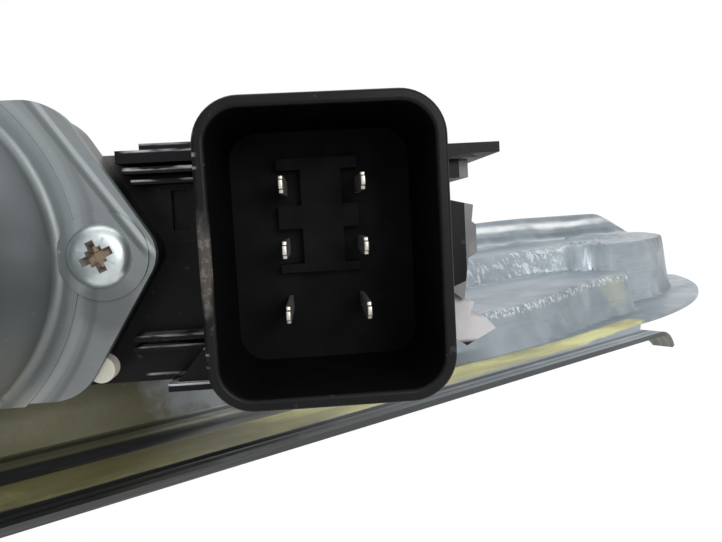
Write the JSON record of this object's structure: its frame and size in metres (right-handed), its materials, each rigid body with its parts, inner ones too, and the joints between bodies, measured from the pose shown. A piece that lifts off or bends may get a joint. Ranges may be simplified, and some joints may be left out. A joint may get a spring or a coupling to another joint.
{
  "type": "window regulator",
  "caption": "Single-rail cable window regulator: pressed steel rail, gear motor with six-way connector, cable drum, pulleys and a sliding glass carrier.",
  "frame": {"origin": "half way between the two fixing holes of the rail, in the upper face of the two fixing pads", "axes": "+X along the rail towards its lower end, +Z the plate's normal towards the motor, the rail's running lip on the -Y side"},
  "size_m": [0.689, 0.1593, 0.0747],
  "materials": {
    "galvanised_steel": "galvanised, satin, yellow passivation",
    "zinc_steel": "dull zinc plate",
    "bright_zinc": "bright zinc plate",
    "hardened_steel": "ground",
    "cable_steel": "stranded, greased",
    "black_plastic": "moulded, semi-gloss",
    "natural_nylon": "moulded",
    "black_rubber": "matt",
    "ferrite": "sintered",
    "electrical_steel": "stacked sheet",
    "copper": "enamelled",
    "carbon": "carbon",
    "spring_steel": "bright",
    "sintered_bronze": "sintered",
    "tinned_brass": "tin plated",
    "board_green": "solder mask",
    "component_black": "moulded"
  },
  "bodies": {
    "regulator": {"guide_rail": "galvanised_steel", "pulley_rivets": "bright_zinc", "drum_housing": "black_plastic", "upper_cable": "cable_steel", "lower_cable": "cable_steel", "end_bumpers": "black_rubber", "motor_can": "zinc_steel", "flange_gasket": "black_rubber", "flange_screws": "bright_zinc", "left_magnet": "ferrite", "right_magnet": "ferrite", "can_bush": "sintered_bronze", "front_bush": "sintered_bronze", "tail_bush": "sintered_bronze", "thrust_ball": "hardened_steel", "brush_card": "natural_nylon", "brushes": "carbon", "brush_springs": "spring_steel", "gear_housing": "black_plastic", "gear_cover": "zinc_steel", "wheel_axle": "hardened_steel", "housing_screws": "bright_zinc", "connector_module": "black_plastic", "terminals": "tinned_brass", "circuit_board": "board_green", "board_components": "component_black"},
    "armature": {"armature_shaft": "hardened_steel", "lamination_stack": "electrical_steel", "armature_windings": "copper", "commutator": "copper", "magnet_ring": "ferrite"},
    "output": {"worm_wheel": "natural_nylon", "damper": "black_rubber", "output_hub": "hardened_steel", "cable_drum": "black_plastic", "drum_wraps": "cable_steel"},
    "carrier": {"carrier": "black_plastic", "cable_nipples": "bright_zinc", "glass_pads": "black_rubber", "clamp_plate": "bright_zinc", "clamp_bolt": "bright_zinc", "clamp_nut": "bright_zinc"},
    "upper_pulley": {"upper_pulley": "natural_nylon"},
    "lower_pulley": {"lower_pulley": "natural_nylon"}
  },
  "joints": [
    {"name": "armature_spin", "type": "hinge", "parent": "regulator", "child": "armature", "pos_m": [0.0575, -0.04508, 0.012], "axis": [0.5906, 0.807, 0], "range_deg": [0, 80349]},
    {"name": "drum_spin", "type": "hinge", "parent": "regulator", "child": "output", "pos_m": [0.0616, 0.0114, 0.012], "axis": [0, 0, 1], "range_deg": [-1101, 0]},
    {"name": "carrier_slide", "type": "slide", "parent": "regulator", "child": "carrier", "axis": [1, 0, 0], "range_m": [0, 0.365]},
    {"name": "upper_pulley_spin", "type": "hinge", "parent": "regulator", "child": "upper_pulley", "pos_m": [-0.245, -0.008, -0.0165], "axis": [0, 0, 1], "range_deg": [0, 1743]},
    {"name": "lower_pulley_spin", "type": "hinge", "parent": "regulator", "child": "lower_pulley", "pos_m": [0.185, -0.008, -0.0165], "axis": [0, 0, 1], "range_deg": [0, 1743]}
  ],
  "couplings": [
    {"joint": "drum_spin", "follows": "armature_spin", "ratio": -0.013699},
    {"joint": "carrier_slide", "follows": "armature_spin", "m_per_rad": 0.00026027},
    {"joint": "upper_pulley_spin", "follows": "armature_spin", "ratio": 0.02169},
    {"joint": "lower_pulley_spin", "follows": "armature_spin", "ratio": 0.02169}
  ]
}
